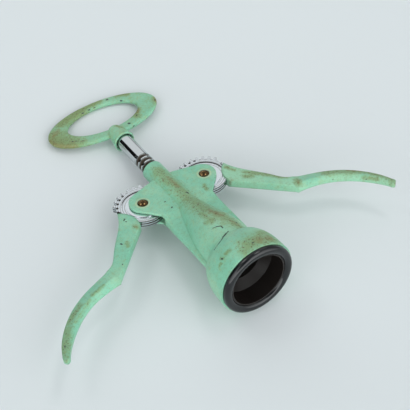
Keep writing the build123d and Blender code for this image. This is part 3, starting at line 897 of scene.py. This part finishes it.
def camera_axes():
    """Right, up and back directions of the camera"""
    back = Vector((
        math.sin(camera_azimuth) * math.cos(camera_elevation),
        -math.cos(camera_azimuth) * math.cos(camera_elevation),
        math.sin(camera_elevation),
    ))
    level = Vector((math.cos(camera_azimuth), math.sin(camera_azimuth), 0))
    up = back.cross(level)
    cos_roll = math.cos(camera_roll)
    sin_roll = math.sin(camera_roll)
    return cos_roll * level + sin_roll * up, cos_roll * up - sin_roll * level, back


def add_camera(distance):
    """Camera that looks at the aim point from this distance"""
    data = bpy.data.cameras.new("camera")
    data.sensor_width = sensor_width
    data.lens = focal_pixels / picture_pixels * sensor_width
    camera = bpy.data.objects.new("camera", data)
    bpy.context.scene.collection.objects.link(camera)
    right, up, back = camera_axes()
    turn = Matrix((right, up, back)).transposed().to_4x4()
    camera.matrix_world = Matrix.Translation(aim_point + back * distance) @ turn
    bpy.context.scene.camera = camera


# Floor, with its sizes in metres

floor_size = 16.0
floor_roughness = 0.85
floor_cloud_size = 0.25
floor_cloud_shade = 0.985
settling_steps = 6


def resting_plane():
    """A point and slope of the floor: it touches the bell's edge and the ring handle's far side"""
    bell = [vertex.co for name in ("frame", "bell_ring") for vertex in nodes[name].data.vertices]
    ring = [vertex.co for vertex in nodes["ring_handle"].data.vertices]
    slope = 0.0
    for _ in range(settling_steps):
        heel = min(bell, key=lambda place: place.z - slope * place.y)
        toe = min(ring, key=lambda place: place.z - slope * place.y)
        slope = (toe.z - heel.z) / (toe.y - heel.y)
    return heel, slope


def pale_floor(shade):
    """Matt paper with very soft clouds"""
    made = Finish("floor_paper", shade, floor_roughness)
    clouds = made.noise(floor_cloud_size, detail=2)
    body = made.mix(clouds, shade, [part * floor_cloud_shade for part in shade])
    return made.finish(base_color=body)


def add_floor(shade):
    """Flat sheet under the corkscrew, tilted so that it rests on its lowest points"""
    heel, slope = resting_plane()
    bpy.ops.object.select_all(action="DESELECT")
    bpy.ops.mesh.primitive_plane_add(size=floor_size)
    floor = bpy.context.object
    floor.name = "floor"
    tilt = Matrix.Rotation(math.atan(slope), 4, "X")
    floor.data.transform(Matrix.Translation((0, heel.y, heel.z)) @ tilt)
    floor.data.materials.append(pale_floor(shade))


# Softboxes and the room. A tone is the brightness of the room's walls in one direction.

lamp_aim = Vector((0, 90, 0)) * MM
key_direction = Vector((0.33, -0.04, 0.94))
fill_direction = Vector((-0.31, 0.32, 0.90))
room_tint = (0.95, 0.99, 1.0)
room_tone = 0.37
front_tone = 3.0
front_direction = Vector((-0.28, -0.96, 0.04))
front_from_to = (-0.3, 1.0)
zone_softness = 0.15


class Zone(NamedTuple):
    """Round part of the room whose light is multiplied by a factor"""

    direction: Vector
    factor: float
    half_angle: float


zones = {
    "high_window": Zone(Vector((0.15, 0.63, 0.74)), 2.45, math.radians(38)),
    "doorway": Zone(Vector((-0.67, 0.633, 0.385)), 0.02, math.radians(19)),
    "camera_stand": Zone(Vector((-0.36, -0.63, 0.69)), 0.08, math.radians(22)),
    "ceiling": Zone(Vector((0.0, -0.15, 0.99)), 0.3, math.radians(34)),
}


def add_softbox(name, direction, power, settings):
    """Square lamp that looks at the corkscrew from one direction"""
    data = bpy.data.lights.new(name, "AREA")
    data.shape = "SQUARE"
    data.size = settings.softbox_size
    data.energy = power
    lamp = bpy.data.objects.new(name, data)
    bpy.context.scene.collection.objects.link(lamp)
    lamp.location = lamp_aim + direction.normalized() * settings.softbox_distance
    lamp.rotation_euler = direction.to_track_quat("Z", "Y").to_euler()


def room_shade(room):
    """Tone of the room in each direction: dim at the back, bright in front, changed in its zones"""
    here = room.node("ShaderNodeTexCoord").outputs["Generated"]
    facing = room.measure("DOT_PRODUCT", here, front_direction.normalized())
    shade = room.step(facing, *front_from_to, room_tone, front_tone)
    for zone in zones.values():
        facing = room.measure("DOT_PRODUCT", here, zone.direction.normalized())
        outside = math.cos(zone.half_angle * (1 + zone_softness))
        inside = math.cos(zone.half_angle * (1 - zone_softness))
        shade = room.times(shade, room.step(facing, outside, inside, 1.0, zone.factor))
    return shade


def add_world(backdrop_shade):
    """Room that lights the corkscrew, behind a plain backdrop that only the camera sees"""
    world = bpy.data.worlds.new("room")
    bpy.context.scene.world = world
    world.use_nodes = True
    world.node_tree.nodes.clear()
    room = Nodes(world.node_tree)
    light = room.node("ShaderNodeBackground", {"Color": room_tint, "Strength": room_shade(room)})
    backdrop = room.node("ShaderNodeBackground", {"Color": backdrop_shade})
    seen = room.node("ShaderNodeLightPath").outputs["Is Camera Ray"]
    joined = room.node("ShaderNodeMixShader", {0: seen, 1: light.outputs[0], 2: backdrop.outputs[0]})
    room.node("ShaderNodeOutputWorld", {"Surface": joined.outputs[0]})


class CORKSCREW_OT_stage(bpy.types.Operator):
    """Lay a pale floor under the corkscrew, light it softly and aim the camera"""

    bl_idname = "corkscrew.stage"
    bl_label = "Set Stage"

    def execute(self, context):
        settings = context.scene.corkscrew_stage
        add_floor(settings.floor)
        add_softbox("key_softbox", key_direction, settings.key_power, settings)
        add_softbox("fill_softbox", fill_direction, settings.fill_power, settings)
        add_world(settings.floor)
        add_camera(settings.camera_distance)
        context.scene.view_settings.view_transform = "Standard"
        return {"FINISHED"}


class CORKSCREW_PT_panel(bpy.types.Panel):
    """Buttons and settings of the corkscrew"""

    bl_idname = "CORKSCREW_PT_panel"
    bl_label = "Corkscrew"
    bl_space_type = "VIEW_3D"
    bl_region_type = "UI"
    bl_category = "Corkscrew"

    def draw(self, context):
        for operator in operators:
            self.layout.operator(operator.bl_idname)
        for name in settings_groups:
            box = self.layout.box()
            group = getattr(context.scene, name)
            for prop in group.bl_rna.properties:
                if prop.identifier not in ("rna_type", "name"):
                    box.prop(group, prop.identifier)


operators = (
    CORKSCREW_OT_paint_castings,
    CORKSCREW_OT_finish_plastics,
    CORKSCREW_OT_plate_tube,
    CORKSCREW_OT_finish_screw,
    CORKSCREW_OT_plate_gear_heads,
    CORKSCREW_OT_finish_rivets,
    CORKSCREW_OT_stage,
)
settings_groups = {
    "corkscrew_paint": PaintSettings,
    "corkscrew_plastic": PlasticSettings,
    "corkscrew_metal": MetalSettings,
    "corkscrew_stage": StageSettings,
}


def register():
    for group in settings_groups.values():
        bpy.utils.register_class(group)
    for operator in operators:
        bpy.utils.register_class(operator)
    bpy.utils.register_class(CORKSCREW_PT_panel)
    for name, group in settings_groups.items():
        setattr(bpy.types.Scene, name, bpy.props.PointerProperty(type=group))


def unregister():
    for name in settings_groups:
        delattr(bpy.types.Scene, name)
    bpy.utils.unregister_class(CORKSCREW_PT_panel)
    for operator in reversed(operators):
        bpy.utils.unregister_class(operator)
    for group in reversed(settings_groups.values()):
        bpy.utils.unregister_class(group)


def main():
    """Finish every piece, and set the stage"""
    register()
    bpy.ops.corkscrew.paint_castings()
    bpy.ops.corkscrew.finish_plastics()
    bpy.ops.corkscrew.plate_tube()
    bpy.ops.corkscrew.finish_screw()
    bpy.ops.corkscrew.plate_gear_heads()
    bpy.ops.corkscrew.finish_rivets()
    bpy.ops.corkscrew.stage()


if __name__ == "__main__":
    main()
